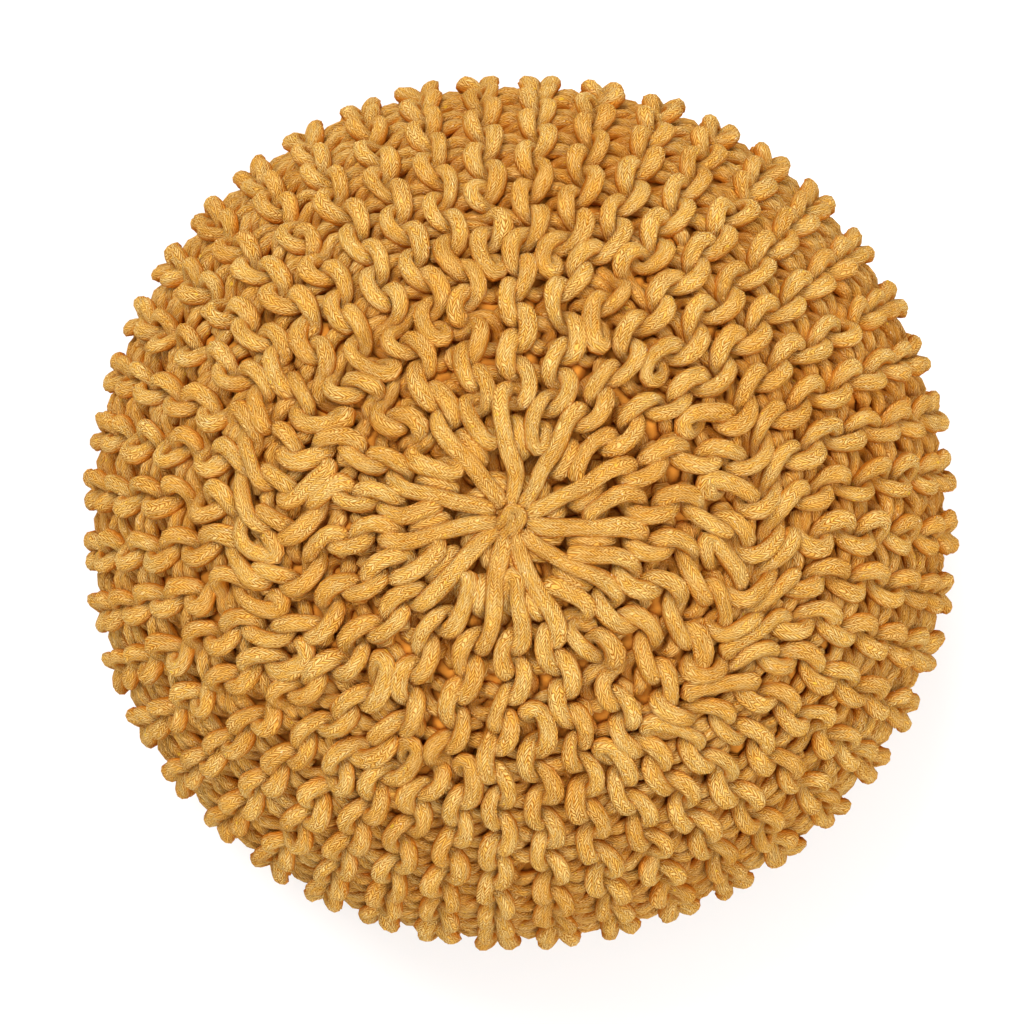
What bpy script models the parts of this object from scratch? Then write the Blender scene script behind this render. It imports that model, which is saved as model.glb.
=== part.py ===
"""Round knitted pouf: a chunky cord cover in garter stitch over a filled cloth casing.

The rows of the knit run from the top's middle down the side to the middle of the base, so the
ridges stand like spokes. Short rows leave a quarter of the ridges at the middle, where the edge
loops are drawn in around a knotted gathering cord.

Metres, +Z up. The origin is on the floor under the middle of the pouf.
"""

import math

import bmesh
import bpy
from mathutils import Vector

# Driving dimensions of the pouf
DIAMETER = 0.500  # over the crests of the ridges
HEIGHT = 0.350
BELT_HEIGHT = 0.165  # of the widest line above the floor
UNLOADED_DEPTH = 0.180  # below the widest line, before the floor flattens the base
FULLNESS = 2.3  # exponent of the side's curve, where 2 is an ellipse
DIMPLE_DEPTH = 0.007  # where the gathering cord pulls the top in
DIMPLE_RADIUS = 0.030
GATHER_OFFSET = Vector((-0.0055, -0.0045, 0))  # of the gathering from the middle, seen from above
OFFSET_FADES_BY = 0.300  # distance from the gathering at which the side is round again

# The knit
CORD_DIAMETER = 0.0085
WEDGES = 11  # a full-length ridge and its short rows
RIDGES_PER_WEDGE = 4
STITCH_PITCH = 0.022  # along a ridge
RIDGE_DEPTH = 0.0065  # from crest to valley
CREST_SWAY = 0.0022  # sideways zigzag of a crest, half a stitch each way
COVER_THICKNESS = 2 * CORD_DIAMETER  # from crest to the inner side

# Spokes at the middle of the top, in degrees anticlockwise from +X. At the rim they even out.
SPOKE_ANGLES = (22, 55, 90, 126, 162, 188, 218, 254, 290, 322, 350)
EVEN_OUT_BY = 0.150  # distance from the top's middle
FIRST_RIM_ANGLE = 22

# Distance from the top's middle from which each number of ridges stands
RIDGE_LEVELS = (
    {"from": 0.000, "ridges": WEDGES},
    {"from": 0.055, "ridges": 2 * WEDGES},
    {"from": 0.140, "ridges": RIDGES_PER_WEDGE * WEDGES},
)

# Lumps of the outline seen from above
LUMPS = (
    {"waves": 3, "size": 0.0010, "turn": -77},
    {"waves": 4, "size": 0.0016, "turn": -171},
    {"waves": 5, "size": 0.0009, "turn": -105},
)

# Open stitches that show the casing, between the ridges
GAP_RINGS = (
    {"from_top": 0.098, "count": 2 * WEDGES},
    {"from_top": 0.120, "count": 2 * WEDGES},
    {"from_top": 0.162, "count": RIDGES_PER_WEDGE * WEDGES},
)
GAP_ACROSS = 0.0065
GAP_ALONG = 0.0095

# The gathering cord's knot and the hole that it fills
HOLE_RADIUS = 0.0095
KNOT_RADIUS = 0.0085
KNOT_LOBES = 3
KNOT_LOBE_DEPTH = 0.0007

# Casing
CASING_CLEARANCE = 0.0006
CASING_COLUMNS = 44
CASING_CAP = 0.010  # distance from the top's middle to its first ring
CASING_STEP = 0.030  # between its rings

RADIUS = DIAMETER / 2
CREST_RISE = HEIGHT - BELT_HEIGHT
PROFILE_STEPS = 720


def half_outline():
    """Points of the crests' outline from the gathering to the base's edge, each with its distance along it."""
    points = []
    along = 0.0
    for step in range(PROFILE_STEPS + 1):
        angle = math.radians(90 - 180 * step / PROFILE_STEPS)
        side = abs(math.cos(angle)) ** (2 / FULLNESS)
        rise = abs(math.sin(angle)) ** (2 / FULLNESS)
        radius = RADIUS * side
        if angle >= 0:
            dimple = DIMPLE_DEPTH * math.exp(-((radius / DIMPLE_RADIUS) ** 2))
            height = BELT_HEIGHT + CREST_RISE * rise - dimple
        else:
            height = BELT_HEIGHT - UNLOADED_DEPTH * rise
        if points:
            last = points[-1]
            if height <= 0:  # the floor cuts the outline here
                share = last["height"] / (last["height"] - height)
                radius = last["radius"] + share * (radius - last["radius"])
                height = 0.0
            along += math.hypot(radius - last["radius"], height - last["height"])
        points.append({"along": along, "radius": radius, "height": height})
        if height == 0:
            return points
    raise ValueError("the floor doesn't meet the outline")


OUTLINE = half_outline()
BASE_EDGE = OUTLINE[-1]["along"]


def outline_at(along):
    """Radius and height of the outline at a distance from the top's middle."""
    for low, high in zip(OUTLINE, OUTLINE[1:]):
        if along <= high["along"]:
            share = (along - low["along"]) / (high["along"] - low["along"])
            radius = low["radius"] + share * (high["radius"] - low["radius"])
            return radius, low["height"] + share * (high["height"] - low["height"])
    return OUTLINE[-1]["radius"], OUTLINE[-1]["height"]


def outward_at(along):
    """Outward direction of the outline there, as (radial, upward)."""
    reach = 0.004
    r0, z0 = outline_at(max(0.0, along - reach))
    r1, z1 = outline_at(min(BASE_EDGE, along + reach))
    length = math.hypot(r1 - r0, z1 - z0)
    return (z0 - z1) / length, (r1 - r0) / length


def lump(angle):
    """How far the outline stands out of round at this angle."""
    return sum(w["size"] * math.cos(w["waves"] * angle - math.radians(w["turn"])) for w in LUMPS)


def surface_point(along, angle, inwards):
    """A point of the pouf's skin, at a depth under the crests."""
    radius, height = outline_at(along)
    radial, upward = outward_at(along)
    radius += lump(angle) * (radius / RADIUS) ** 2 - inwards * radial
    height = max(height - inwards * upward, 0.0)
    shift = GATHER_OFFSET * max(0.0, 1 - along / OFFSET_FADES_BY)
    return Vector((radius * math.cos(angle), radius * math.sin(angle), height)) + shift


def ridge_angle(wedge_number, along):
    """Angle of a crest or valley, counted in wedges from the first spoke."""
    turns, wedge_number = divmod(wedge_number, WEDGES)
    first = int(wedge_number)
    share = wedge_number - first
    ends = SPOKE_ANGLES + (SPOKE_ANGLES[0] + 360,)
    at_middle = ends[first] + share * (ends[first + 1] - ends[first]) + 360 * turns
    at_rim = FIRST_RIM_ANGLE + 360 * (wedge_number / WEDGES + turns)
    even = min(1.0, along / EVEN_OUT_BY)
    even = even * even * (3 - 2 * even)
    return math.radians(at_middle + even * (at_rim - at_middle))


def ridges_at(along):
    """How many ridges stand at this distance from the top's middle."""
    return max(level["ridges"] for level in RIDGE_LEVELS if along >= level["from"])


def knit_weight(along):
    """0 where the ridges are drawn in or pressed flat, 1 where they stand free."""
    return min(1.0, along / 0.050) * min(1.0, (BASE_EDGE - along) / 0.045)


def add_object(name, mesh, material=None):
    made = bpy.data.objects.new(name, mesh)
    bpy.context.scene.collection.objects.link(made)
    if material:
        mesh.materials.append(material)
    return made


def mesh_from(name, bm):
    bmesh.ops.recalc_face_normals(bm, faces=bm.faces)
    mesh = bpy.data.meshes.new(name)
    bm.to_mesh(mesh)
    bm.free()
    return mesh


def make_material(name, colour, roughness):
    material = bpy.data.materials.new(name)
    material.use_nodes = True
    shader = material.node_tree.nodes["Principled BSDF"]
    shader.inputs["Base Color"].default_value = (*colour, 1)
    shader.inputs["Roughness"].default_value = roughness
    shader.inputs["Metallic"].default_value = 0
    return material


def crest_ring(bm, station, along, ridges):
    """The crests' points at a station. They lean to one side and the other by turns, as the stitches do."""
    ring = []
    weight = knit_weight(along)
    radius = max(outline_at(along)[0], HOLE_RADIUS)
    for ridge in range(ridges):
        side = 1 if (station + ridge) % 2 else -1
        angle = ridge_angle(ridge * WEDGES / ridges, along) + side * weight * CREST_SWAY / radius
        ring.append(bm.verts.new(surface_point(along, angle, 0.0)))
    return ring


def valley_ring(bm, along, ridges):
    """The valleys' points, each half way to the next crest."""
    depth = RIDGE_DEPTH * knit_weight(along)
    angles = (ridge_angle((ridge + 0.5) * WEDGES / ridges, along) for ridge in range(ridges))
    return [bm.verts.new(surface_point(along, angle, depth)) for angle in angles]


def same_level_band(bm, crests, valleys):
    """Joins three rings of crests to the first and last ones' valleys, one stitch apart."""
    top, middle, low = crests
    upper, lower = valleys
    count = len(top)
    for i in range(count):
        after = (i + 1) % count
        for face in (
            (top[i], middle[i], upper[i]),
            (middle[i], lower[i], upper[i]),
            (middle[i], low[i], lower[i]),
            (upper[i], middle[after], top[after]),
            (upper[i], lower[i], middle[after]),
            (lower[i], low[after], middle[after]),
        ):
            bm.faces.new(face)


def doubling_band(bm, crests, upper, low, lower):
    """Joins a ring to one with twice the ridges: each new crest starts in a valley of the old ring."""
    count = len(crests)
    for i in range(count):
        after = (i + 1) % count
        old, new, following = 2 * i, 2 * i + 1, (2 * i + 2) % (2 * count)
        for face in (
            (crests[i], low[old], lower[old]),
            (crests[i], lower[old], upper[i]),
            (upper[i], lower[old], low[new]),
            (upper[i], low[new], lower[new]),
            (upper[i], lower[new], crests[after]),
            (crests[after], lower[new], low[following]),
        ):
            bm.faces.new(face)


def ribbed_skin():
    """The outside of the cover as one closed body: ridges on the top and side, a flat base."""
    bm = bmesh.new()
    start = HOLE_RADIUS / 2
    bands = round((BASE_EDGE - start) / STITCH_PITCH)
    half_step = (BASE_EDGE - start) / (2 * bands)
    ridges = ridges_at(start)
    crests = crest_ring(bm, 0, start, ridges)
    valleys = valley_ring(bm, start, ridges)
    bm.faces.new([point for pair in zip(crests, valleys) for point in pair])
    for band in range(bands):
        middle_at = start + (2 * band + 1) * half_step
        end_at = middle_at + half_step
        next_ridges = ridges_at(middle_at)
        low = crest_ring(bm, 2 * band + 2, end_at, next_ridges)
        lower = valley_ring(bm, end_at, next_ridges)
        if next_ridges == ridges:
            middle = crest_ring(bm, 2 * band + 1, middle_at, ridges)
            same_level_band(bm, (crests, middle, low), (valleys, lower))
        else:
            doubling_band(bm, crests, valleys, low, lower)
        crests, valleys, ridges = low, lower, next_ridges
    bm.faces.new([point for pair in zip(crests, valleys) for point in pair])
    return mesh_from("ribbed_skin", bm)


def smooth_ball(name, inwards):
    """A closed body of the pouf's own outline without ridges, at a depth under the crests."""
    bm = bmesh.new()
    rings = round((BASE_EDGE - CASING_CAP) / CASING_STEP)
    angles = [math.tau * column / CASING_COLUMNS for column in range(CASING_COLUMNS)]
    last = None
    for ring_number in range(rings + 1):
        along = CASING_CAP + (BASE_EDGE - CASING_CAP) * ring_number / rings
        if ring_number == rings:  # the edge of the flat base, kept clear of the cover's base
            edge_radius = outline_at(BASE_EDGE)[0] - inwards
            places = [Vector((edge_radius * math.cos(a), edge_radius * math.sin(a), inwards)) for a in angles]
        else:
            places = [surface_point(along, a, inwards) for a in angles]
        ring = [bm.verts.new(place) for place in places]
        if last is None:
            bm.faces.new(ring)
        else:
            for i in range(CASING_COLUMNS):
                after = (i + 1) % CASING_COLUMNS
                bm.faces.new((last[i], ring[i], ring[after], last[after]))
        last = ring
    bm.faces.new(last)
    return mesh_from(name, bm)


def gap_prisms():
    """Cutters for the open stitches: four-sided prisms through the wall, on the valleys."""
    bm = bmesh.new()
    for ring in GAP_RINGS:
        for number in range(ring["count"]):
            angle = ridge_angle((number + 0.5) * WEDGES / ring["count"], ring["from_top"])
            centre = surface_point(ring["from_top"], angle, COVER_THICKNESS / 2)
            outward = (surface_point(ring["from_top"], angle, 0.0) - centre).normalized()
            across = Vector((-math.sin(angle), math.cos(angle), 0))
            along = outward.cross(across)
            corners = (GAP_ACROSS * across, GAP_ALONG * along, -GAP_ACROSS * across, -GAP_ALONG * along)
            ends = [
                [bm.verts.new(centre + corner / 2 + side * COVER_THICKNESS * outward) for corner in corners]
                for side in (-1, 1)
            ]
            bm.faces.new(ends[0])
            bm.faces.new(ends[1])
            for i in range(4):
                after = (i + 1) % 4
                bm.faces.new((ends[0][i], ends[0][after], ends[1][after], ends[1][i]))
    return mesh_from("gap_prisms", bm)


def hole_cylinder():
    """Cutter for the gathered hole in the middle of the top."""
    bm = bmesh.new()
    length = 2 * COVER_THICKNESS
    bmesh.ops.create_cone(
        bm, cap_ends=True, segments=2 * WEDGES, radius1=HOLE_RADIUS, radius2=HOLE_RADIUS, depth=length
    )
    bmesh.ops.translate(bm, verts=bm.verts, vec=GATHER_OFFSET + Vector((0, 0, HEIGHT - DIMPLE_DEPTH)))
    return mesh_from("hole_cylinder", bm)


def as_cutter(name, mesh):
    cutter = add_object(name, mesh)
    cutter.hide_render = True
    cutter.display_type = "WIRE"
    return cutter


def cut(target, cutter):
    boolean = target.modifiers.new(cutter.name, "BOOLEAN")
    boolean.operation = "DIFFERENCE"
    boolean.object = cutter


def make_cover(cord):
    """The knitted cover: the ribbed skin, hollow for the casing, with its gathered hole and open stitches."""
    cover = add_object("knit_cover", ribbed_skin(), cord)
    cut(cover, as_cutter("hollow", smooth_ball("hollow", COVER_THICKNESS)))
    cut(cover, as_cutter("gathered_hole", hole_cylinder()))
    cut(cover, as_cutter("open_stitches", gap_prisms()))
    return cover


def make_casing(cloth):
    """The filled inner cushion that shows through the open stitches."""
    casing = add_object("casing", smooth_ball("casing", COVER_THICKNESS + CASING_CLEARANCE), cloth)
    casing.data.shade_smooth()
    return casing


def make_knot(cord):
    """The gathering cord's knot, seated in the hole: a low round lump with the turns of the cord."""
    foot = outline_at(CASING_CAP)[1] - COVER_THICKNESS
    top = outline_at(0.0)[1] - 0.0005
    sides = 8 * KNOT_LOBES
    profile = (
        {"share": 0.00, "width": 0.72},
        {"share": 0.18, "width": 0.97},
        {"share": 0.50, "width": 1.00},
        {"share": 0.78, "width": 0.88},
        {"share": 0.94, "width": 0.60},
        {"share": 1.00, "width": 0.25},
    )
    bm = bmesh.new()
    last = None
    for level in profile:
        height = foot + level["share"] * (top - foot)
        ring = []
        for side in range(sides):
            angle = math.tau * side / sides
            turn = KNOT_LOBES * angle + 2.5 * level["share"]
            radius = level["width"] * (KNOT_RADIUS - KNOT_LOBE_DEPTH * (1 - math.cos(turn)))
            place = Vector((radius * math.cos(angle), radius * math.sin(angle), height)) + GATHER_OFFSET
            ring.append(bm.verts.new(place))
        if last is None:
            bm.faces.new(ring)
        else:
            for i in range(sides):
                after = (i + 1) % sides
                bm.faces.new((last[i], ring[i], ring[after], last[after]))
        last = ring
    bm.faces.new(last)
    knot = add_object("gather_knot", mesh_from("gather_knot", bm), cord)
    knot.data.shade_smooth()
    return knot


def main():
    for old in list(bpy.data.objects):
        bpy.data.objects.remove(old)
    cord = make_material("cotton_cord", (0.64, 0.32, 0.075), 0.9)
    cloth = make_material("casing_cloth", (0.52, 0.20, 0.022), 0.8)
    make_cover(cord)
    make_casing(cloth)
    make_knot(cord)


main()
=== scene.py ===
import math
import time

import bmesh
import bpy
import numpy as np
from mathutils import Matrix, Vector
from mathutils.kdtree import KDTree


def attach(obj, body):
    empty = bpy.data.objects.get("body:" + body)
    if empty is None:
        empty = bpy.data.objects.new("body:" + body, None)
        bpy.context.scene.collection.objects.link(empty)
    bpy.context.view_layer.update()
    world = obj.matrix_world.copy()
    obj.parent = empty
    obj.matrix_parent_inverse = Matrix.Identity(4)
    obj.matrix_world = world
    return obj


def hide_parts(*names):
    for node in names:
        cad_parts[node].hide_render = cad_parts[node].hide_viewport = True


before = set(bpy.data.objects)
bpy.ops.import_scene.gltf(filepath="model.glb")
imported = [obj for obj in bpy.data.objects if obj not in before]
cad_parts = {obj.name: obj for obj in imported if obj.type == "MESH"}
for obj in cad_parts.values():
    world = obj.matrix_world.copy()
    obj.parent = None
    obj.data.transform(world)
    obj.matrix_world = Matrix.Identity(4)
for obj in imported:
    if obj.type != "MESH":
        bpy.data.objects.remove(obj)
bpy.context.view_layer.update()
startedAt = time.perf_counter()
scene = bpy.context.scene


def report(stage):
    print(f"[{time.perf_counter() - startedAt:5.1f} s] {stage}")


# The photograph looks straight down on the pouf, and its top is +Y here.

view = {
    "aboveTop": 1.60,
    "halfWidth": 0.2932,  # from the picture's middle to its edge, measured at the widest line
    "aim": (-0.0046, 0.0001),
}

pouf = {
    "radius": 0.250,
    "height": 0.350,
    "beltHeight": 0.165,
    "unloadedDepth": 0.180,
    "fullness": 2.3,
    "dimpleDepth": 0.007,
    "dimpleRadius": 0.030,
    "gatherOffset": (-0.0055, -0.0045, 0.0),
    "offsetFadesBy": 0.300,
    "cornerEase": 0.012,  # how far the outward direction is eased round the base's edge
    "sideSteps": 2881,
    "baseSteps": 200,
    "step": 0.0005,
    "lumps": (
        {"waves": 3, "size": 0.0010, "turn": -77},
        {"waves": 4, "size": 0.0016, "turn": -171},
        {"waves": 5, "size": 0.0009, "turn": -105},
    ),
}


def smooth(x):
    x = np.clip(x, 0, 1)
    return x * x * (3 - 2 * x)


def unit(v):
    return v / np.maximum(np.linalg.norm(v, axis=-1, keepdims=True), 1e-9)


class Outline:
    # The crests' line, from the top's middle down the side and along the floor to the base's middle.
    # s is the distance along it and w the height over it.
    def __init__(self, p):
        turn = np.radians(np.linspace(90, -90, p["sideSteps"]))
        side = np.abs(np.cos(turn)) ** (2 / p["fullness"])
        rise = np.abs(np.sin(turn)) ** (2 / p["fullness"])
        radius = p["radius"] * side
        dimple = p["dimpleDepth"] * np.exp(-((radius / p["dimpleRadius"]) ** 2))
        top = p["beltHeight"] + (p["height"] - p["beltHeight"]) * rise - dimple
        height = np.where(turn >= 0, top, p["beltHeight"] - p["unloadedDepth"] * rise)
        radius, height = radius[height > 0], height[height > 0]
        radius = np.append(radius, np.linspace(radius[-1], 0, p["baseSteps"])[1:])
        height = np.append(height, np.zeros(p["baseSteps"] - 1))
        along = np.append(0, np.cumsum(np.hypot(np.diff(radius), np.diff(height))))
        step = p["step"]
        self.s = np.arange(0, along[-1], step)
        self.length = self.s[-1]
        self.r = np.interp(self.s, along, radius)
        self.z = np.interp(self.s, along, height)
        self.beltAt = self.s[np.argmax(self.r)]
        pad = round(p["cornerEase"] / step)
        ease = np.hanning(2 * pad + 1)
        outward = (-np.gradient(self.z, step), np.gradient(self.r, step))
        eased = [np.convolve(np.pad(n, pad, "edge"), ease / ease.sum(), "valid") for n in outward]
        size = np.hypot(*eased)
        self.nr, self.nz = eased[0] / size, eased[1] / size

    def radiusAt(self, s):
        return np.interp(s, self.s, self.r)

    def place(self, s, angle, w):
        r, z, nr, nz = (np.interp(s, self.s, c) for c in (self.r, self.z, self.nr, self.nz))
        radius = r + w * nr
        return np.stack([radius * np.cos(angle), radius * np.sin(angle), z + w * nz], -1)


outline = Outline(pouf)
report(f"outline: {outline.length:.3f} m from the top's middle to the base's middle")


def toPhoto(x):
    # from the round pouf to its lumpy outline, with the gathering off the middle
    radius = np.hypot(x[:, 0], x[:, 1])
    angle = np.arctan2(x[:, 1], x[:, 0])
    swell = sum(w["size"] * np.cos(w["waves"] * angle - math.radians(w["turn"])) for w in pouf["lumps"])
    factor = 1 + swell * radius / pouf["radius"] ** 2
    upper = outline.s <= outline.beltAt
    along = np.interp(radius, outline.r[upper], outline.s[upper])
    share = np.where(x[:, 2] > pouf["beltHeight"], 1 - along / pouf["offsetFadesBy"], 0)
    moved = x * np.stack([factor, factor, np.ones_like(factor)], -1)
    return moved + np.clip(share, 0, 1)[:, None] * np.array(pouf["gatherOffset"])


# The rows of the knit run from pole to pole. Two rows make a ridge and four ridges a wedge: a full
# one, and three whose rows turn back short of the poles.

knit = {
    "cord": 0.0085,
    "wedges": 11,
    "stitch": 0.0310,
    "firstStitch": 0.026,  # from the pole to the middle of a full ridge's first stitch
    "startsAt": {  # the stitch at which the short ridges of each wedge start
        "second": (3, 3, 4, 3, 3, 4, 3, 4, 4, 4, 3),
        "third": (1, 1, 1, 1, 1, 1, 1, 1, 1, 1, 1),
        "fourth": (3, 4, 3, 3, 4, 4, 4, 3, 4, 4, 3),
    },
    "spokeAngles": (22, 55, 90, 126, 162, 188, 218, 254, 290, 322, 350),
    "firstRimAngle": 22,
    "evenOutBy": 0.150,
    "valleyAt": 0.22,  # of the way from a ridge to the next, so the rows before a ridge are the wider ones
    "loopSwing": 0.14,  # of a loop along the row, as a share of a stitch
    "crossing": 0.0043,  # swing in depth where loops cross
    "inFront": 0.30,  # how much of a loop's bend lies in front of the legs it crosses
    "ribbing": 0.0038,  # how far the ridges stand out
    "ridgeHook": 0.0067,  # how far a loop reaches past the line where two rows meet
    "valleyHook": 0.0022,
    "backPeak": 0.25,  # the short back rows bend as much at the ridge as the long front rows
    "sunk": 0.0030,  # how far the first stitches lie under the spokes
    "sunkUntil": 0.036,
    "sunkEase": 0.018,
    "swingLost": 0.45,  # share of a loop's swing that is missing at the valley
    "rowEnds": {"back": 0.15, "front": 0.5, "fullFront": 1.5},  # stitches left out at a row's ends
    "lineReach": 0.9,  # stitches by which a short ridge's line starts before its first stitch
    "lineEase": 1.5,  # stitches over which its neighbours make room for it
    "leastShare": 0.0001,  # of the round, for a ridge that isn't there
    "calmEnds": 3,  # stitches over which the unevenness sets in
    "nearPole": 0.012,  # radius inside which angles are worked out as on this radius
    "tableStep": 0.001,
    "pointsInStitch": 16,
    "spacing": 0.0045,  # of points along the cord
    "unevenAlong": 0.0014,
    "alongOver": (6, 4),  # rows and stitches over which it changes
    "unevenSideways": 0.0007,
    "sidewaysOver": (5, 4),
    "jitter": 0.0004,
    "jitterInDepth": 0.6,
    "seed": 7,
}


def smoothNoise(rng, rows, columns, acrossRows, acrossColumns):
    # noise that repeats round the rows and has a spread of 1
    noise = rng.normal(0, 1, (rows, columns))
    for axis, reach in ((0, acrossRows), (1, acrossColumns)):
        kernel = np.hanning(2 * reach + 1)[1:-1] if reach > 0 else np.ones(1)
        half = len(kernel) // 2
        mode = "wrap" if axis == 0 else "reflect"
        pad = [(half, half) if a == axis else (0, 0) for a in (0, 1)]
        wide = np.pad(noise, pad, mode)
        noise = sum(k * np.take(wide, range(n, n + noise.shape[axis]), axis) for n, k in enumerate(kernel))
    return noise / noise.std()


class Layout:
    # where the stitches, ridges and valleys run
    def __init__(self, k, line):
        self.k = k
        self.ridges = 4 * k["wedges"]
        span = line.length - 2 * k["firstStitch"]
        self.columns = round(span / k["stitch"]) + 1
        self.pitch = span / (self.columns - 1)
        self.first = np.zeros(self.ridges, int)
        self.last = np.full(self.ridges, self.columns - 1)
        for part, starts in enumerate(k["startsAt"].values(), 1):
            starts = np.array(starts)
            self.first[part::4] = starts
            self.last[part::4] = self.columns - 1 - np.roll(starts, 3)
        rng = np.random.default_rng(k["seed"])
        rows, columns = 2 * self.ridges, self.columns
        calm = smooth(np.minimum(np.arange(columns), columns - 1 - np.arange(columns)) / k["calmEnds"])
        self.along = k["unevenAlong"] * smoothNoise(rng, rows, columns, *k["alongOver"]) * calm
        self.sideways = k["unevenSideways"] * smoothNoise(rng, rows, columns, *k["sidewaysOver"]) * calm
        self.jitter = k["jitter"] * smoothNoise(rng, 3 * rows, columns, 0, 0).reshape(3, rows, columns)
        self.luck = rng.uniform(0, 1, (k["wedges"], 2))
        self.s = np.arange(0, line.length, k["tableStep"])
        self.ridgeAngle, self.valleyAngle = self.lines()

    def columnAt(self, column):
        return self.k["firstStitch"] + self.pitch * column

    def lines(self):
        # the angles of each ridge and of the valley after it, for each distance along the outline
        k, s = self.k, self.s[:, None]
        ease = k["lineEase"] * self.pitch
        begin = self.columnAt(self.first) - k["lineReach"] * self.pitch
        end = self.columnAt(self.last) + k["lineReach"] * self.pitch
        there = smooth((s - begin) / ease) * smooth((end - s) / ease)
        there[:, ::4] = 1
        there += k["leastShare"]
        upTo = np.cumsum(there, 1)
        middle = (upTo - there / 2) / upTo[:, -1:]
        after = (upTo - there * (0.5 - k["valleyAt"])) / upTo[:, -1:]
        home = np.arange(k["wedges"]) / k["wedges"]  # of the full ridges
        shift = (middle[:, ::4] - home).mean(1, keepdims=True)
        regular = 360 * np.arange(k["wedges"] + 1) / k["wedges"]
        spokes = np.array(k["spokeAngles"] + (k["spokeAngles"][0] + 360,)) - k["firstRimAngle"]
        uneven = 1 - smooth(s / k["evenOutBy"])
        angles = []
        for lines in (middle - shift, after - shift):
            degrees = 360 * lines
            degrees = degrees + uneven * np.interp(degrees % 360, regular, spokes - regular)
            angles.append(np.radians(degrees + k["firstRimAngle"]))
        return angles

    def angleAt(self, table, ridge, s):
        return np.interp(s, self.s, table[:, ridge % self.ridges]) + math.tau * (ridge // self.ridges)


layout = Layout(knit, outline)
report(f"{layout.ridges} ridges, {layout.columns} stitches of {layout.pitch * 1000:.1f} mm in a full row")


def rowPoints(ridge, back):
    # one row of loops from top to base. A ridge's first row goes up to the top, its second comes back.
    k = knit
    first, last = layout.first[ridge], layout.last[ridge]
    full = ridge % 4 == 0
    if back:
        left = 0 if full else k["rowEnds"]["back"]
    else:  # this row turns at the front of a loop, and leaves the full ridges' first stitch out
        left = k["rowEnds"]["fullFront" if full else "front"]
    first, last = first + left, last - left
    steps = round((last - first + 1) * k["pointsInStitch"])
    phase = first + np.arange(steps + 1) / k["pointsInStitch"]
    t = math.tau * phase - math.pi
    column = phase - 0.5
    row = 2 * ridge + back
    known = np.arange(layout.columns)
    along, sideways, stray, drift, sink = (
        np.interp(column, known, table)
        for table in (layout.along[row], layout.sideways[row], *layout.jitter[:, row])
    )
    valleySide = 0.5 - 0.5 * np.cos(t) * (-1 if back else 1)
    swing = k["loopSwing"] * (1 - k["swingLost"] * valleySide) * np.sin(2 * t)
    s = layout.columnAt(column) + layout.pitch * swing + along + stray
    if back:
        low = layout.angleAt(layout.ridgeAngle, ridge, s)
        high = layout.angleAt(layout.valleyAngle, ridge, s)
    else:
        low = layout.angleAt(layout.valleyAngle, ridge - 1, s)
        high = layout.angleAt(layout.ridgeAngle, ridge, s)
    radius = np.maximum(outline.radiusAt(s), k["nearPole"])
    half = (high - low) / 2 * radius + k["ridgeHook"] + (k["valleyHook"] - k["ridgeHook"]) * valleySide
    across = np.cos(t) - (k["backPeak"] * (np.cos(2 * t) - 1) if back else 0)
    angle = (high + low) / 2 + (across * half + sideways + drift) / radius
    depth = k["ribbing"] * np.cos(t) + k["crossing"] * np.cos(3 * (t - k["inFront"] * np.sin(2 * t)))
    middle = -k["cord"] / 2 - k["ribbing"] - k["crossing"]
    w = middle + (-depth if back else depth) + k["jitterInDepth"] * sink
    fromPole = np.minimum(s, outline.length - s)
    w = w - k["sunk"] * (1 - smooth((fromPole - k["sunkUntil"]) / k["sunkEase"])) * (ridge % 4 == 0)
    return s, angle, w


# The cord's way from a ridge's first row to its second, as shares of a stitch back from the first
# row's last loop, and cord widths sideways and in depth.
turns = {
    "short": (
        {"back": 0.18, "side": 0.56, "depth": -0.50},
        {"back": 0.38, "side": 0.52, "depth": -0.48},
        {"back": 0.52, "side": 0.28, "depth": -0.46},
        {"back": 0.57, "side": -0.05, "depth": -0.46},
        {"back": 0.50, "side": -0.40, "depth": -0.50},
    ),
    "reach": 1.0,
    "lower": 0.25,  # for the ridges that start far from the middle
    "innerReach": (1.0, 1.1, 0.95, 1.2, 1.0, 1.1, 1.2, 1.7, 1.0, 1.1, 0.95),
    "spokeSteps": 8,
    "spokeStart": 0.25,  # stitches before a full ridge's last loop
    "spokeSide": 0.45,
    "sideLost": 1.4,  # that is gone after 1 / 1.4 of the spoke
    "spokeWave": 0.9,
    "spokeDepth": -0.42,
    "beforeHole": 0.003,
    "holeSide": -0.1,
    "nearPole": 0.009,
    "hole": (  # metres from the pole, for the spokes
        {"from": 0.0112, "depth": -0.60},
        {"from": 0.0096, "depth": -1.10},
        {"from": 0.0098, "depth": -1.70},
        {"from": 0.0125, "depth": -2.00},
    ),
}


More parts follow.
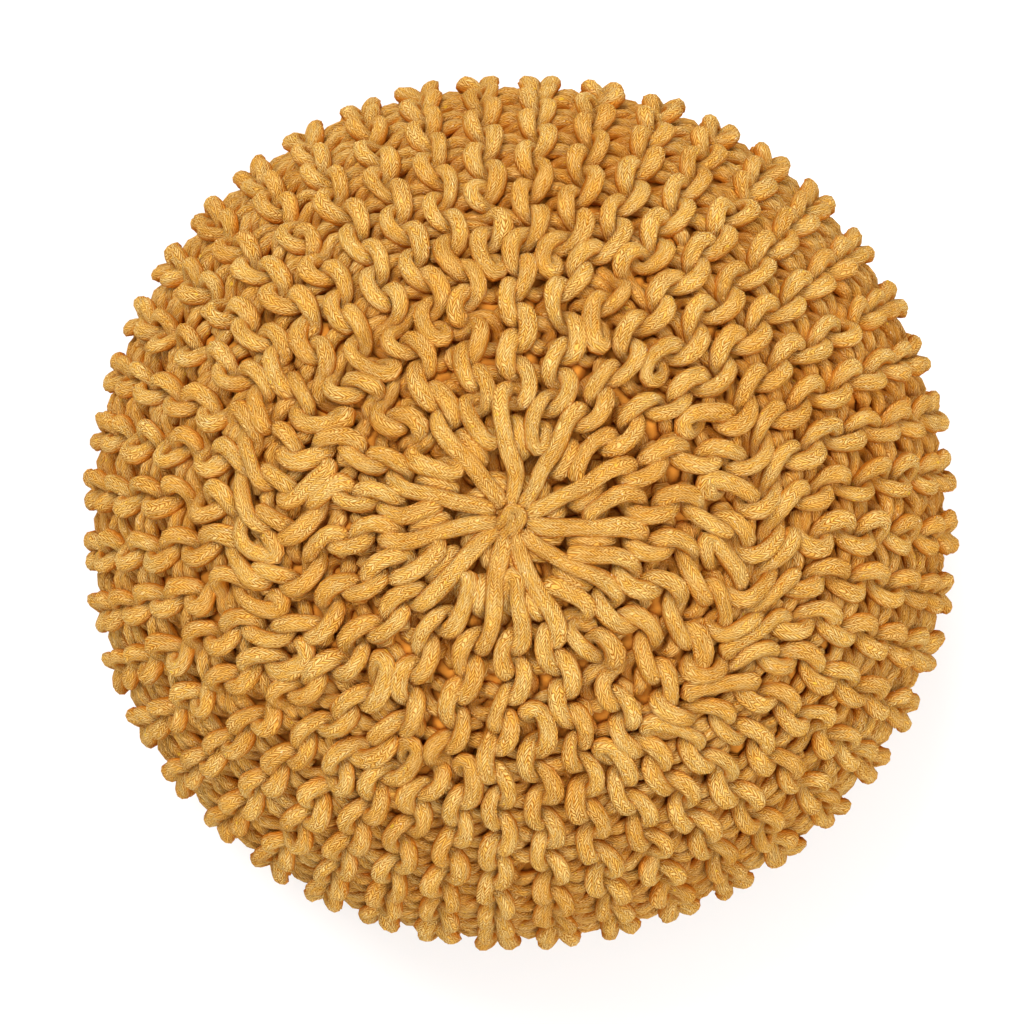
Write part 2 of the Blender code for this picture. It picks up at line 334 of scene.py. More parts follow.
def turnPoints(ridge, atTop):
    k, d = knit, knit["cord"]
    mirror = 1 if atTop else -1
    pole = 0 if atTop else outline.length
    column = layout.first[ridge] if atTop else layout.last[ridge]
    full = ridge % 4 == 0
    if full:
        start = abs(layout.columnAt(column + mirror) - pole) - turns["spokeStart"] * layout.pitch
        laid = np.linspace(0, 1, turns["spokeSteps"])
        away = start + (turns["hole"][0]["from"] + turns["beforeHole"] - start) * laid
        wave = np.sin(math.pi * laid) * np.sin(math.tau * (laid + layout.luck[ridge // 4, 0]))
        side = turns["spokeSide"] * (1 - smooth(turns["sideLost"] * laid))
        side = side + turns["spokeWave"] * wave * layout.luck[ridge // 4, 1]
        depth = np.full(len(laid), turns["spokeDepth"])
        away = np.append(away, [p["from"] for p in turns["hole"]])
        depth = np.append(depth, [p["depth"] for p in turns["hole"]])
        side = np.append(side, np.linspace(0, turns["holeSide"], len(turns["hole"])))
    else:
        start = abs(layout.columnAt(column) - pole)
        reach = turns["innerReach"][ridge // 4] if ridge % 4 == 2 else turns["reach"]
        away = start - reach * layout.pitch * np.array([p["back"] for p in turns["short"]])
        side = np.array([p["side"] for p in turns["short"]])
        lower = 0 if ridge % 4 == 2 else turns["lower"]
        depth = np.array([p["depth"] for p in turns["short"]]) - lower
    s = pole + mirror * away
    radius = np.maximum(outline.radiusAt(s), turns["nearPole"])
    return s, layout.angleAt(layout.ridgeAngle, ridge, s) + side * d / radius, depth * d


def evenly(points, spacing, closed=False):
    # points at an even spacing on a smooth curve through the given ones. A closed curve gets an even number.
    if closed:
        points = np.vstack([points, points[:1]])
    gaps = np.linalg.norm(np.diff(points, axis=0), axis=1)
    along = np.append(0, np.cumsum(gaps))
    count = 2 * round(along[-1] / spacing / 2)
    want = np.linspace(0, along[-1], count + 1)
    return curveAt(points, along, want[:-1] if closed else want, closed)


def curveAt(points, along, want, closed):
    gaps = np.diff(along)
    i = np.clip(np.searchsorted(along, want, "right") - 1, 0, len(points) - 2)
    f = ((want - along[i]) / np.maximum(gaps[i], 1e-9))[:, None]
    before = points[-2] if closed else 2 * points[0] - points[1]
    after = points[1] if closed else 2 * points[-1] - points[-2]
    padded = np.vstack([before, points, after])
    p0, p1, p2, p3 = (padded[i + n] for n in range(4))
    return 0.5 * (
        2 * p1 + (p2 - p0) * f + (2 * p0 - 5 * p1 + 4 * p2 - p3) * f**2 + (3 * p1 - p0 - 3 * p2 + p3) * f**3
    )


def ridgeLoop(ridge):
    # a ridge's cord as a closed loop
    up = [c[::-1] for c in rowPoints(ridge, 0)]
    over = turnPoints(ridge, True)
    down = rowPoints(ridge, 1)
    under = [c[::-1] for c in turnPoints(ridge, False)]
    s, angle, w = (np.concatenate(parts) for parts in zip(up, over, down, under))
    return evenly(outline.place(s, angle, w), knit["spacing"], closed=True)


loops = [ridgeLoop(ridge) for ridge in range(layout.ridges)]
stitchCount = sum(2 * (layout.last - layout.first + 1))
cordLength = sum(len(loop) for loop in loops) * knit["spacing"]
stitchCord = 1000 * cordLength / stitchCount
report(f"{stitchCount} stitches, {cordLength:.0f} m of cord, {stitchCord:.0f} mm a stitch")


settling = {
    "rounds": 200,
    "finer": 0.0022,  # spacing of the points afterwards
    "neighboursEvery": 25,
    "touch": 0.0073,  # the cord is soft, so it touches a little under its own width
    "deepTouch": 0.0062,  # in the valleys it is squeezed
    "bend": 0.08,
    "home": 0.016,
    "layers": 0.07,  # how strongly each part of a loop keeps its depth
    "onCasing": -0.0172,  # depth of a cord's middle that rests on the casing
    "atCrest": -0.0036,
    "slack": 0.030,
    "slackOver": 31,  # points
    "tautTurns": 0.86,
    "turnMargin": 0.2,  # stitches
    "taut": 0.97,  # the filling stretches the cover, so the cord is drawn tight
    "spokes": {"within": 0.050, "above": -0.0045, "taut": 0.98},
    "heldWithin": 0.0108,  # of the middle, where the gathering cord holds it
    "reach": 1.5,  # touching distances within which cords are looked for
    "apart": 4,  # points along one cord that don't push each other
    "deep": {"from": -0.0075, "over": 0.004},
    "push": 0.25,
    "lift": 0.6,
    "press": 0.5,
    "tight": 0.85,  # of the touching distance, below which the report counts a pair
}

skinTable = {"cell": 0.002, "radii": (0, 0.30), "heights": (-0.02, 0.38)}


class Skin:
    # height over the crests' line, distance along it and the way out, looked up by radius and height
    def __init__(self, line, table):
        self.cell = table["cell"]
        radii, heights = np.arange(*table["radii"], self.cell), np.arange(*table["heights"], self.cell)
        self.corner = np.array([radii[0], heights[0]])
        self.shape = np.array([len(radii), len(heights)])
        grid = np.stack(np.meshgrid(radii, heights, indexing="ij"), -1).reshape(-1, 2)
        tree = KDTree(len(line.s))
        for i, (r, z) in enumerate(zip(line.r, line.z)):
            tree.insert((r, z, 0), i)
        tree.balance()
        near = np.array([tree.find((r, z, 0))[1] for r, z in grid])
        out = np.stack([line.nr[near], line.nz[near]], -1)
        gap = grid - np.stack([line.r[near], line.z[near]], -1)
        columns = [(gap * out).sum(1), line.s[near], out[:, 0], out[:, 1]]
        self.table = np.stack(columns, -1).reshape(*self.shape, 4)

    def look(self, x):
        r = np.hypot(x[:, 0], x[:, 1])
        at = (np.stack([r, x[:, 2]], -1) - self.corner) / self.cell
        at = np.clip(at, 0, self.shape - 1.001)  # stays within the last cell
        i, j = at.astype(int).T
        f, g = (at - at.astype(int)).T[..., None]
        t = self.table
        low = t[i, j] * (1 - f) + t[i + 1, j] * f
        high = t[i, j + 1] * (1 - f) + t[i + 1, j + 1] * f
        w, s, nr, nz = (low * (1 - g) + high * g).T
        flat = x[:, :2] / np.maximum(r, 1e-6)[:, None]
        return w, s, np.column_stack([flat * nr[:, None], nz])


def kdTreeOf(x):
    tree = KDTree(len(x))
    for i, point in enumerate(x):
        tree.insert(point, i)
    tree.balance()
    return tree


def nearPairs(x, owner, order, reach, apart):
    tree = kdTreeOf(x)
    first, second = [], []
    for i, point in enumerate(x):
        mine, place = owner[i], order[i]
        for _, j, _ in tree.find_range(point, reach):
            if j > i and (owner[j] != mine or abs(order[j] - place) > apart):
                first.append(i)
                second.append(j)
    return np.array(first), np.array(second)


def settle(loops, skin):
    # the cord finds its place: loops push each other apart, keep their length and rest on the casing
    rng = np.random.default_rng(knit["seed"] + 1)
    x = np.concatenate(loops)
    home = x.copy()
    homeDepth, homeAlong, _ = skin.look(x)
    counts = [len(loop) for loop in loops]
    owner = np.repeat(np.arange(len(loops)), counts)
    order = np.concatenate([np.arange(count) for count in counts])
    start = np.repeat(np.cumsum([0] + counts[:-1]), counts)
    size = np.repeat(counts, counts)

    def beside(step):
        return start + (order + step) % size

    ahead = beside(1)
    rest = np.linalg.norm(x[ahead] - x, axis=1)
    noise = np.convolve(rng.normal(0, 1, len(x)), np.hanning(settling["slackOver"]), "same")
    fromAxis = np.hypot(x[:, 0], x[:, 1])
    spokes, deep = settling["spokes"], settling["deep"]
    inSpoke = (fromAxis < spokes["within"]) & (homeDepth > spokes["above"])
    taut = np.where(inSpoke, spokes["taut"], settling["taut"])
    margin = settling["turnMargin"] * layout.pitch
    rowStart = layout.columnAt(layout.first)[owner] - margin
    rowEnd = layout.columnAt(layout.last)[owner] + margin
    turning = ((homeAlong < rowStart) | (homeAlong > rowEnd)) & (owner % 4 != 0)
    taut = np.where(turning, settling["tautTurns"], taut)
    rest = rest * (taut + settling["slack"] * noise / noise.std())
    free = np.where(fromAxis < settling["heldWithin"], 0.0, 1.0)[:, None]
    reach = settling["touch"] * settling["reach"]
    for step in range(settling["rounds"]):
        if step % settling["neighboursEvery"] == 0:
            i, j = nearPairs(x, owner, order, reach, settling["apart"])
            squeezed = smooth((deep["from"] - np.maximum(homeDepth[i], homeDepth[j])) / deep["over"])
            touch = settling["touch"] + (settling["deepTouch"] - settling["touch"]) * squeezed
            report(f"settling {step}: {len(i)} near pairs")
        x = x + settling["home"] * (home - x)
        fourth = x[beside(-2)] - 4 * x[beside(-1)] + 6 * x - 4 * x[ahead] + x[beside(2)]
        x = x - settling["bend"] * fourth * free
        for _ in range(2):  # cords that touch push each other apart
            gap = x[j] - x[i]
            far = np.linalg.norm(gap, axis=1)
            hit = far < touch
            push = settling["push"] * (touch[hit] / np.maximum(far[hit], 1e-6) - 1)
            move = gap[hit] * push[:, None]
            shove = [np.bincount(j[hit], m, len(x)) - np.bincount(i[hit], m, len(x)) for m in move.T]
            x = x + np.stack(shove, -1) * free
        w, _, out = skin.look(x)
        over = np.maximum(w - settling["atCrest"], 0)
        lift = np.maximum(settling["onCasing"] - w, 0) - settling["press"] * over
        x = x + (settling["lift"] * lift + settling["layers"] * (homeDepth - w))[:, None] * out * free
        x[:, 2] = np.maximum(x[:, 2], knit["cord"] / 2)
        for parity in (0, 1, 0, 1):  # every second length, then the others, so that none shares a point
            b = np.flatnonzero(order % 2 == parity)
            c = ahead[b]
            gap = x[c] - x[b]
            far = np.linalg.norm(gap, axis=1)
            fix = gap * (0.5 * (1 - rest[b] / np.maximum(far, 1e-9)))[:, None]
            x[b] += fix * free[b]
            x[c] -= fix * free[c]
    moved = np.linalg.norm(x - home, axis=1)
    far = np.linalg.norm(x[j] - x[i], axis=1)
    tight = np.mean(far < settling["tight"] * touch)
    report(f"settled: moved {1000 * moved.mean():.1f} mm on average, {100 * tight:.1f}% of near pairs tight")
    return [x[owner == n] for n in range(len(loops))]


skin = Skin(outline, skinTable)
loops = settle(loops, skin)
loops = [evenly(loop, settling["finer"], closed=True) for loop in loops]


class Value:
    # a socket with numbers in it, for sums written as Python expressions
    def __init__(self, shader, socket):
        self.shader, self.socket = shader, socket

    def __add__(self, other):
        return self.shader.maths("ADD", self, other)

    def __sub__(self, other):
        return self.shader.maths("SUBTRACT", self, other)

    def __mul__(self, other):
        return self.shader.maths("MULTIPLY", self, other)

    def __pow__(self, other):
        return self.shader.maths("POWER", self, other)

    def __rsub__(self, other):
        return self.shader.maths("SUBTRACT", other, self)

    __radd__ = __add__
    __rmul__ = __mul__


class Shader:
    def __init__(self, name):
        self.material = bpy.data.materials.new(name)
        self.material.use_nodes = True
        self.tree = self.material.node_tree
        self.surface = self.tree.nodes["Principled BSDF"]

    def node(self, kind, settings=None, sockets=None):
        made = self.tree.nodes.new(kind)
        for name, value in (settings or {}).items():
            setattr(made, name, value)
        for name, value in (sockets or {}).items():
            self.feed(made.inputs[name], value)
        return made

    def feed(self, socket, value):
        if isinstance(value, Value):
            value = value.socket
        if isinstance(value, bpy.types.NodeSocket):
            self.tree.links.new(value, socket)
        else:
            socket.default_value = value

    def maths(self, operation, *values):
        made = self.node("ShaderNodeMath", {"operation": operation}, dict(enumerate(values)))
        return Value(self, made.outputs[0])

    def between(self, value, low, high, start=0.0, end=1.0):
        ease = {"interpolation_type": "SMOOTHSTEP"}
        sockets = {"Value": value, "From Min": low, "From Max": high, "To Min": start, "To Max": end}
        return Value(self, self.node("ShaderNodeMapRange", ease, sockets).outputs["Result"])

    def mix(self, share, a, b):
        made = self.node("ShaderNodeMix", {"data_type": "RGBA"}, {0: share, 6: a, 7: b})
        return made.outputs[2]

    def noise(self, vector, scale, detail=2.0, roughness=0.5):
        sockets = {"Vector": vector, "Scale": scale, "Detail": detail, "Roughness": roughness}
        return Value(self, self.node("ShaderNodeTexNoise", None, sockets).outputs["Fac"])

    def combine(self, x, y, z=0.0):
        return self.node("ShaderNodeCombineXYZ", None, {"X": x, "Y": y, "Z": z}).outputs["Vector"]

    def random(self, vector):
        made = self.node("ShaderNodeTexWhiteNoise", {"noise_dimensions": "3D"}, {"Vector": vector})
        return Value(self, made.outputs["Value"])

    def uv(self, name):
        where = self.node("ShaderNodeUVMap", {"uv_map": name}).outputs["UV"]
        parts = self.node("ShaderNodeSeparateXYZ", None, {"Vector": where})
        return Value(self, parts.outputs["X"]), Value(self, parts.outputs["Y"])

    def inObject(self):
        return self.node("ShaderNodeTexCoord").outputs["Object"]

    def finish(self, colour, roughness, height, depth, **constants):
        bump = self.node("ShaderNodeBump", None, {"Strength": 1.0, "Distance": depth, "Height": height})
        self.feed(self.surface.inputs["Base Color"], colour)
        self.feed(self.surface.inputs["Roughness"], roughness)
        self.feed(self.surface.inputs["Normal"], bump.outputs["Normal"])
        for name, value in constants.items():
            self.surface.inputs[name.replace("_", " ")].default_value = value
        return self.material


cotton = {
    "wales": 8,  # columns of chevrons round the cord
    "strand": 0.0019,  # metres of cord from one strand to the next
    "slant": 1.8,
    "cordRound": 0.0267,
    "twist": 1.5,  # wales by which the braid turns in a metre
    "waleWander": 0.8,
    "strandWander": 2.0,
    "light": (0.840, 0.575, 0.200, 1),
    "base": (0.82, 0.450, 0.083, 1),
    # painted shade in the grooves between strands
    "grooveShade": (0.41, 0.118, 0.002, 1),
    "deep": (0.66, 0.27, 0.030, 1),
    # painted shade, for cord that lies deep under the crests or faces sideways
    "paintedShade": (0.66, 0.18, 0.004, 1),
    # grains in a metre along the cord and in one round of it
    "wander": {"along": 220.0, "around": 9.0, "detail": 2.0},
    "fibre": {"along": 2600.0, "around": 26.0, "detail": 3.0, "roughness": 0.7},
    "cream": {"along": 420.0, "around": 15.0, "detail": 1.0},
    "yellow": {"along": 300.0, "around": 9.0, "detail": 0.0, "shift": 4.0},
    "flecks": (
        {"grain": "cream", "from": 0.74, "to": 0.80, "share": 0.6, "colour": (0.95, 0.78, 0.50, 1)},
        {"grain": "yellow", "from": 0.82, "to": 0.86, "share": 0.8, "colour": (0.85, 0.52, 0.04, 1)},
    ),
    # patches in a metre, whichever way the cord runs
    "broad": 28.0,
    "felting": 90.0,
    "lumps": 240.0,
    "felted": 0.78,  # how much of the braid is left where fuzz covers it
    "relief": {"strands": 0.65, "fibre": 0.35, "lumps": 1.2},  # shares of grooveDepth
    "grooveDepth": 0.0013,
    "roughness": 0.88,
    "grooveRoughness": 0.97,
    "specular": 0.03,
}


def makeCotton(name, c):
    # braided cord: strands in chevrons, each a little lighter or darker than the next
    sh = Shader(name)
    along, around = sh.uv("cord")
    below, facing = sh.uv("lie")  # how far under the crests, 2 cm being 1, and how far it faces outwards
    place = sh.inObject()

    def grain(kind):
        g = c[kind]
        where = sh.combine(along * g["along"], around * g["around"], g.get("shift", 0.0))
        return sh.noise(where, 1.0, g["detail"], g.get("roughness", 0.5))

    wander = grain("wander") - 0.5  # no strand is quite straight
    wale = around * c["wales"] + along * c["twist"] + wander * c["waleWander"]
    across = sh.maths("FRACT", wale)
    fromMiddle = sh.maths("ABSOLUTE", across - 0.5)
    waleWidth = c["cordRound"] / c["wales"]
    slant = c["slant"] * waleWidth / c["strand"]
    strand = along * (1 / c["strand"]) + fromMiddle * slant + wander * c["strandWander"]
    rounded = sh.maths("ABSOLUTE", sh.maths("SINE", strand * math.pi))
    # strands dip where two wales meet and where a chevron points
    ends = 1 - sh.maths("ABSOLUTE", fromMiddle * 4.0 - 1.0) ** 3.0
    relief = rounded ** 0.6 * (0.45 + ends * 0.55)
    side = sh.maths("GREATER_THAN", across, 0.5)
    # each strand has its own tint, with fine fibres over it
    which = sh.combine(sh.maths("FLOOR", strand), sh.maths("FLOOR", wale), side)
    luck = sh.random(which)
    broad = sh.noise(place, c["broad"], 3.0)
    fibre = grain("fibre")
    tint = sh.between(luck * 0.6 + fibre * 0.4, 0.15, 0.85)
    felted = sh.between(sh.noise(place, c["felting"]), 0.38, 0.60, 1.0, c["felted"])
    colour = sh.mix(tint, c["base"], c["light"])
    colour = sh.mix(sh.between(broad, 0.35, 0.62, 0.40, 0.0), colour, c["deep"])
    # painted shade: the grooves between strands are darker, less so where fuzz covers the braid
    colour = sh.mix(sh.between(relief, 0.24, 0.94, 0.95, 0.0) * felted, colour, c["grooveShade"])
    # painted shade: the cord is darker and more saturated where it lies deep under the crests or faces
    # sideways
    deepShade = sh.between(below, 0.25, 0.95, 0.0, 0.78)
    sideShade = sh.between(facing, 0.36, 0.86, 0.85, 0.0)
    colour = sh.mix(sh.maths("MAXIMUM", deepShade, sideShade), colour, c["paintedShade"])
    for fleck in c["flecks"]:
        share = sh.between(grain(fleck["grain"]), fleck["from"], fleck["to"], 0.0, fleck["share"])
        colour = sh.mix(share, colour, fleck["colour"])
    lumps = sh.noise(place, c["lumps"], 1.0)
    part = c["relief"]
    height = relief * felted * part["strands"] + fibre * part["fibre"] + lumps * part["lumps"]
    roughness = sh.between(relief, 0.0, 1.0, c["grooveRoughness"], c["roughness"])
    return sh.finish(colour, roughness, height, c["grooveDepth"], Specular_IOR_Level=c["specular"])


cottonCord = makeCotton("cottonCord", cotton)
thinner = {"cordRound": 0.0182, "wales": 6, "strand": 0.0016}
gatheringCord = makeCotton("gatheringCord", {**cotton, **thinner})


def meshObject(name, verts, faces, layers, material):
    mesh = bpy.data.meshes.new(name)
    mesh.vertices.add(len(verts))
    mesh.vertices.foreach_set("co", verts.astype(np.float32).ravel())
    mesh.loops.add(faces.size)
    mesh.loops.foreach_set("vertex_index", faces.astype(np.int32).ravel())
    mesh.polygons.add(len(faces))
    mesh.polygons.foreach_set("loop_start", np.arange(0, faces.size, 4, dtype=np.int32))
    mesh.polygons.foreach_set("use_smooth", np.ones(len(faces), bool))
    mesh.update(calc_edges=True)
    for layerName, uvs in layers.items():
        layer = mesh.uv_layers.new(name=layerName)
        layer.data.foreach_set("uv", uvs.astype(np.float32).ravel())
    mesh.materials.append(material)
    made = bpy.data.objects.new(name, mesh)
    scene.collection.objects.link(made)
    return made


tube = {
    "sides": 10,
    "longest": 0.0064,  # between rings on a straight stretch
    "shortest": 0.0027,
    "turnPerRing": 0.42,  # radians
    "uneven": 0.13,
    "unevenOver": (3, 2),  # rings and sides over which it changes
    "pressed": 0.06,  # share by which cords flatten towards the casing
    "spread": 0.13,
    "deepSpread": -0.05,
    "deep": {"from": -0.007, "over": 0.005},
    "overFloor": 0.0003,
    "depthScale": 0.02,  # depth under the crests that counts as 1 in the painted shade
}


def ringsAlong(loop):
    # rings stand closer where the cord bends
    around = np.vstack([loop[-1:], loop, loop[:1]])
    chord = np.diff(around, axis=0)
    length = np.linalg.norm(chord, axis=1)
    ahead = chord / length[:, None]
    bend = np.arccos(np.clip((ahead[1:] * ahead[:-1]).sum(1), -1, 1))
    bend = np.convolve(np.pad(bend, 2, "wrap"), np.ones(5) / 5, "valid")  # mean of five
    gap = tube["turnPerRing"] * length[1:] / np.maximum(bend, 1e-4)
    gap = np.clip(gap, tube["shortest"], tube["longest"])
    dense = np.append(0, np.cumsum(length[1:] / gap))
    along = np.append(0, np.cumsum(length[1:]))
    rings = round(dense[-1])
    want = np.interp(np.linspace(0, dense[-1], rings + 1)[:-1], dense, along)
    return curveAt(np.vstack([loop, loop[:1]]), along, want, True)


def ringFrames(line):
    # sideways directions that turn with the cord and close up after one round
    tangent = unit(np.roll(line, -1, 0) - np.roll(line, 1, 0))
    side = np.empty_like(line)
    side[0] = unit(np.cross(tangent[0], (0.31, 0.52, 0.79)))  # any direction does to start with
    for i in range(1, len(line)):
        flat = side[i - 1] - tangent[i] * (side[i - 1] @ tangent[i])
        side[i] = flat / math.sqrt(flat @ flat)
    last = side[-1] - tangent[0] * (side[-1] @ tangent[0])
    up = np.cross(tangent, side)
    miss = math.atan2(last @ up[0], last @ side[0])
    turn = -miss * np.linspace(0, 1, len(line))[:, None]
    return side * np.cos(turn) + up * np.sin(turn), up * np.cos(turn) - side * np.sin(turn)


def cordTubes(name, lines, radius, material, pressed=True):
    # a round tube for each closed line, with the cord's length and the way it lies in its UV layers
    rng = np.random.default_rng(len(lines[0]))
    verts, faces, uvs, lie = [], [], [], []
    base, sides = 0, tube["sides"]
    around = math.tau * np.arange(sides) / sides
    for line in lines:
        side, up = ringFrames(line)
        ring = np.cos(around)[:, None] * side[:, None] + np.sin(around)[:, None] * up[:, None]
        rings = len(line)
        noise = smoothNoise(rng, rings, sides, *tube["unevenOver"])
        uneven = 1 + tube["uneven"] * np.clip(noise, -2, 2)
        skinOut = radius * uneven[..., None] * ring
        depth, _, out = skin.look(line)
        out = out[:, None]
        facing = (ring * out).sum(-1, keepdims=True)
        if pressed:
            rise = (skinOut * out).sum(-1, keepdims=True) * out
            squeezed = smooth((tube["deep"]["from"] - depth) / tube["deep"]["over"])[:, None, None]
            width = 1 + tube["spread"] + (tube["deepSpread"] - tube["spread"]) * squeezed
            skinOut = (skinOut - rise) * width + rise * (1 - tube["pressed"])
        points = (line[:, None] + skinOut).reshape(-1, 3)
        points[:, 2] = np.maximum(points[:, 2], tube["overFloor"])
        verts.append(points)
        below = -depth[:, None, None] - radius * facing
        lie.append(np.concatenate([below / tube["depthScale"], facing / 2 + 0.5], -1).reshape(-1, 2))
        i, j = (m.ravel() for m in np.meshgrid(np.arange(rings), np.arange(sides), indexing="ij"))
        after, beside = (i + 1) % rings, (j + 1) % sides
        quads = (i * sides + j, i * sides + beside, after * sides + beside, after * sides + j)
        faces.append(np.stack(quads, -1) + base)
        gaps = np.linalg.norm(np.roll(line, -1, 0) - line, axis=1)
        along = np.append(0, np.cumsum(gaps))
        whole = cotton["strand"] * round(along[-1] / cotton["strand"])
        along *= whole / along[-1]
        u = np.stack([along[i], along[i], along[i + 1], along[i + 1]], -1)
        v = np.stack([j, j + 1, j + 1, j], -1) / sides
        uvs.append(np.stack([u, v], -1).reshape(-1, 2))
        base += rings * sides
    faces, lie = np.concatenate(faces), np.concatenate(lie)
    layers = {"cord": np.concatenate(uvs), "lie": lie[faces]}
    return meshObject(name, np.concatenate(verts), faces, layers, material)


def makeCover():
    triangles = 0
    for wedge in range(knit["wedges"]):
        lines = [ringsAlong(toPhoto(loop)) for loop in loops[4 * wedge : 4 * wedge + 4]]
        piece = cordTubes(f"knitWedge{wedge + 1:02d}", lines, knit["cord"] / 2, cottonCord)
        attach(piece, "root")
        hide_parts("knit_cover")
        triangles += 2 * len(piece.data.polygons)
    report(f"cover: {triangles} triangles")


makeCover()


casing = {
    "rings": 220,
    "columns": 330,
    "from": 0.003,  # distance of the first ring from the pole
    "restDepth": -0.0170,
    "fullest": -0.0085,  # how far the cloth bulges out between the cords
    "clearance": 0.0003,
    "findWithin": 0.0085,
    "pressure": 0.0014,
    "rounds": 60,
    "fill": 0.85,
    "threads": 0.0009,
    "threadDepth": 0.00012,
    "clothRadius": 0.23,  # for the threads round the casing
    "slub": {"across": 900.0, "along": 120.0},  # grains in a metre
    "patches": 22.0,
    "roughness": {"hollow": 0.85, "thread": 0.72},
    "specular": 0.2,
    "light": (0.74, 0.30, 0.034, 1),
    "dark": (0.58, 0.20, 0.018, 1),
}


def makeCloth(c):
    sh = Shader("casingCloth")
    across, along = sh.uv("cloth")
    warp = sh.maths("SINE", across * (math.tau / c["threads"]))
    weft = sh.maths("SINE", along * (math.tau / c["threads"]))
    weave = warp * weft * 0.5 + 0.5
    slub = sh.noise(sh.combine(across * c["slub"]["across"], along * c["slub"]["along"]), 1.0, 3.0)
    broad = sh.noise(sh.inObject(), c["patches"], 3.0)
    shade = sh.between(weave * 0.5 + slub * 0.3 + broad * 0.4, 0.25, 0.95)
    colour = sh.mix(shade, c["dark"], c["light"])
    roughness = sh.between(weave, 0.0, 1.0, c["roughness"]["hollow"], c["roughness"]["thread"])
    height = weave * 0.7 + slub * 0.3
    return sh.finish(colour, roughness, height, c["threadDepth"], Specular_IOR_Level=c["specular"])


def makeCasing():
    # the filled cloth, pressed in under the cords and bulging between them
    c = casing
    s = np.linspace(c["from"], outline.length - c["from"], c["rings"])
    angle = math.tau * np.arange(c["columns"]) / c["columns"]
    s, angle = (m.ravel() for m in np.meshgrid(s, angle, indexing="ij"))
    flat = outline.place(s, angle, np.full(len(s), c["restDepth"]))
    out = unit(outline.place(s, angle, np.zeros(len(s))) - flat)
    cords = np.concatenate(loops)
    tree = kdTreeOf(cords)
    radius = knit["cord"] / 2 + c["clearance"]
    limit = np.full(len(s), c["fullest"] - c["restDepth"])
    mine, near = [], []
    for i, point in enumerate(flat):
        for _, j, _ in tree.find_range(point, c["findWithin"]):
            mine.append(i)
            near.append(j)
    mine, near = np.array(mine), np.array(near)
    gap = cords[near] - flat[mine]
    rise = (gap * out[mine]).sum(1)
    aside = (gap**2).sum(1) - rise**2
    under = aside < radius**2
    np.minimum.at(limit, mine[under], rise[under] - np.sqrt(radius**2 - aside[under]))
    limit = limit.reshape(c["rings"], -1)
    height = limit.copy()
    for _ in range(c["rounds"]):
        ends = np.vstack([height[:1], height, height[-1:]])
        around = np.roll(height, 1, 1) + np.roll(height, -1, 1)
        height = np.minimum(limit, (ends[:-2] + ends[2:] + around) / 4 + c["pressure"])
    verts = toPhoto(flat + height.reshape(-1, 1) * out)
    return verts, s, angle


def closedSkin(verts, s, angle, material):
    # rings of quads, and one small face that closes the skin at each pole
    c = casing
    rings, columns = c["rings"], c["columns"]
    i, j = (m.ravel() for m in np.meshgrid(np.arange(rings - 1), np.arange(columns), indexing="ij"))
    beside = (j + 1) % columns
    here, after = i * columns, (i + 1) * columns
    faces = np.stack([here + j, after + j, after + beside, here + beside], -1)
    u = np.stack([j, j, j + 1, j + 1], -1) * (math.tau * c["clothRadius"] / columns)
    v = s.reshape(rings, columns)[:, 0]
    v = np.stack([v[i], v[i + 1], v[i + 1], v[i]], -1)
    made = meshObject("fillingCasing", verts, faces, {"cloth": np.stack([u, v], -1)}, material)
    shape = bmesh.new()
    shape.from_mesh(made.data)
    bmesh.ops.holes_fill(shape, edges=[edge for edge in shape.edges if edge.is_boundary])
    shape.to_mesh(made.data)
    shape.free()
    return made


casingVerts, casingS, casingAngle = makeCasing()
casingPiece = closedSkin(casingVerts, casingS, casingAngle, makeCloth(casing))
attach(casingPiece, "root")
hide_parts("casing")
report(f"casing: {2 * len(casingPiece.data.polygons)} triangles")


knot = {
    "cordRadius": 0.0029,
    "z": 0.3370,
    "spacing": 0.0014,
    "cornersCut": 4,  # times, which rounds each strand
    # millimetres from the gathered middle, each list running round a closed strand
    "strands": (
        (
            (-8, -5, -9), (-7.5, -3, -1), (-3.5, 0, 2.6), (-1.5, 3, 3.4), (-0.5, 6.5, 3.0),
            (4.5, 6.2, 3.6), (5.8, 1.5, 4.2), (3.5, -3, 3.2), (1, -8, 0.5), (-1, -10, -9), (-4, -6, -14),
        ),
        (
            (-6, 5, -9), (-6.5, 5, -3), (-1, 3.5, 0.5), (2.2, 1.5, 2.8),
            (-0.5, -4, 2.6), (-5, -8, -0.5), (-7, -8, -9), (-6, -1, -14),
        ),
        ((9, 5, -9), (8, 3.5, -2.0), (4, -1, -0.5), (5.5, -6, 0.2), (9, -8, -4), (8, -2, -12)),
    ),
}


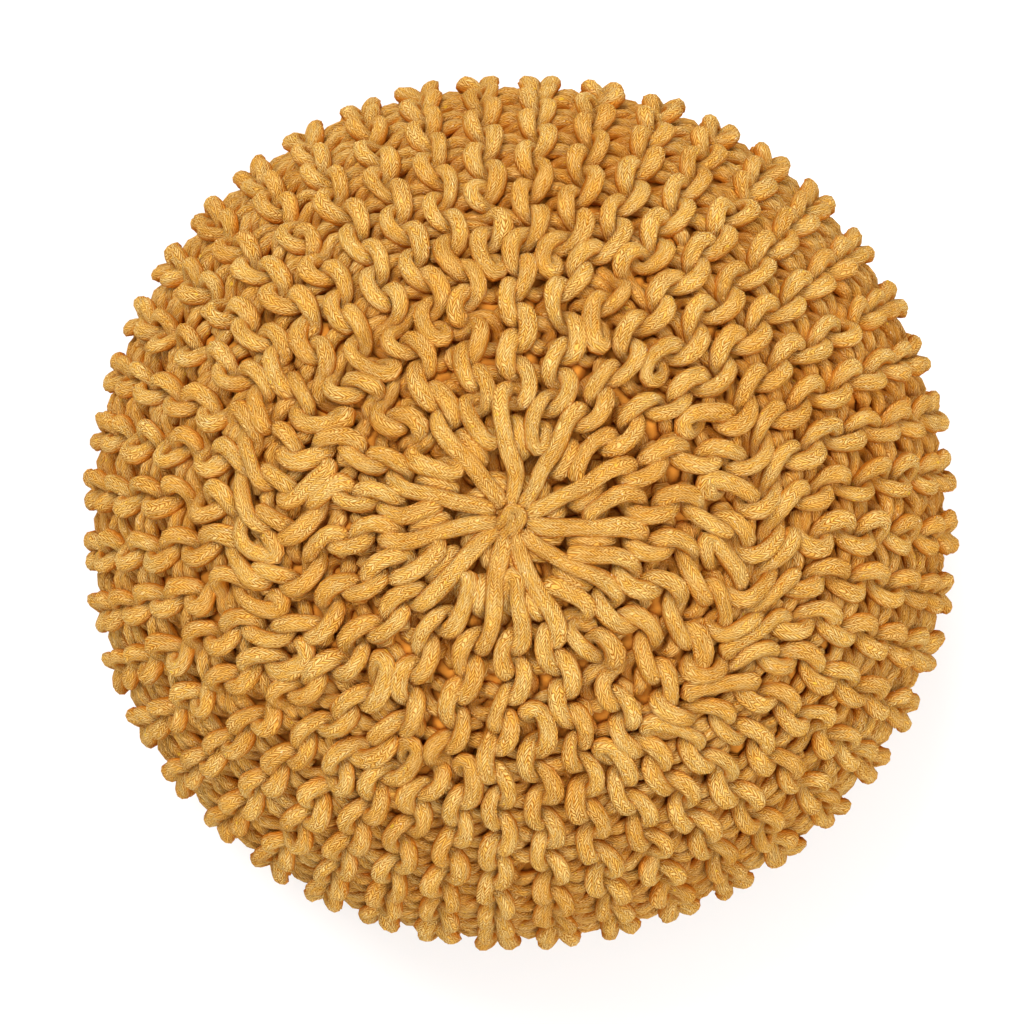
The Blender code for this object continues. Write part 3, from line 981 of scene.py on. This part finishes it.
def makeKnot():
    middle = np.array([*pouf["gatherOffset"][:2], knot["z"]])
    lines = []
    for strand in knot["strands"]:
        line = np.array(strand, float) / 1000
        for _ in range(knot["cornersCut"]):
            ahead = np.roll(line, -1, axis=0)
            line = np.stack([0.75 * line + 0.25 * ahead, 0.25 * line + 0.75 * ahead], 1).reshape(-1, 3)
        lines.append(evenly(line + middle, knot["spacing"], closed=True))
    piece = cordTubes("tiedKnot", lines, knot["cordRadius"], gatheringCord, pressed=False)
    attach(piece, "root")
    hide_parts("gather_knot")


makeKnot()
report("knot")


studio = {
    "floor": (0.90, 0.90, 0.90, 1),
    "floorRoughness": 0.9,
    "floorReach": 6,
    "sky": 0.90,
    "litPoint": (0, 0, 0.2),
    "lights": (
        {"name": "key", "at": (-0.65, 1.25, 2.5), "size": 1.5, "watts": 53},
        {"name": "fill", "at": (1.1, -0.9, 2.5), "size": 2.0, "watts": 36},
    ),
}


def makeFloor():
    mesh = bpy.data.meshes.new("floor")
    far = studio["floorReach"]
    mesh.from_pydata([(-far, -far, 0), (far, -far, 0), (far, far, 0), (-far, far, 0)], [], [(0, 1, 2, 3)])
    floor = bpy.data.objects.new("floor", mesh)
    scene.collection.objects.link(floor)
    pale = Shader("paleFloor")
    pale.surface.inputs["Base Color"].default_value = studio["floor"]
    pale.surface.inputs["Roughness"].default_value = studio["floorRoughness"]
    mesh.materials.append(pale.material)


def makeLights():
    world = bpy.data.worlds.new("studio")
    scene.world = world
    world.use_nodes = True
    sky = world.node_tree.nodes["Background"]
    sky.inputs["Color"].default_value = (1, 1, 1, 1)
    sky.inputs["Strength"].default_value = studio["sky"]
    for wanted in studio["lights"]:
        light = bpy.data.lights.new(wanted["name"], "AREA")
        light.shape = "DISK"
        light.size = wanted["size"]
        light.energy = wanted["watts"]
        made = bpy.data.objects.new(wanted["name"], light)
        made.location = wanted["at"]
        made.rotation_euler = (Vector(studio["litPoint"]) - made.location).to_track_quat("-Z", "Y").to_euler()
        scene.collection.objects.link(made)
    scene.view_settings.view_transform = "Standard"


def makeCamera():
    lens = bpy.data.cameras.new("camera")
    made = bpy.data.objects.new("camera", lens)
    scene.collection.objects.link(made)
    toBelt = pouf["height"] + view["aboveTop"] - pouf["beltHeight"]
    lens.sensor_width = 36
    lens.lens = lens.sensor_width / 2 * toBelt / view["halfWidth"]
    lens.clip_end = 20
    made.location = (*view["aim"], pouf["height"] + view["aboveTop"])
    scene.camera = made


makeFloor()
makeLights()
makeCamera()

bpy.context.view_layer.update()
report("done")
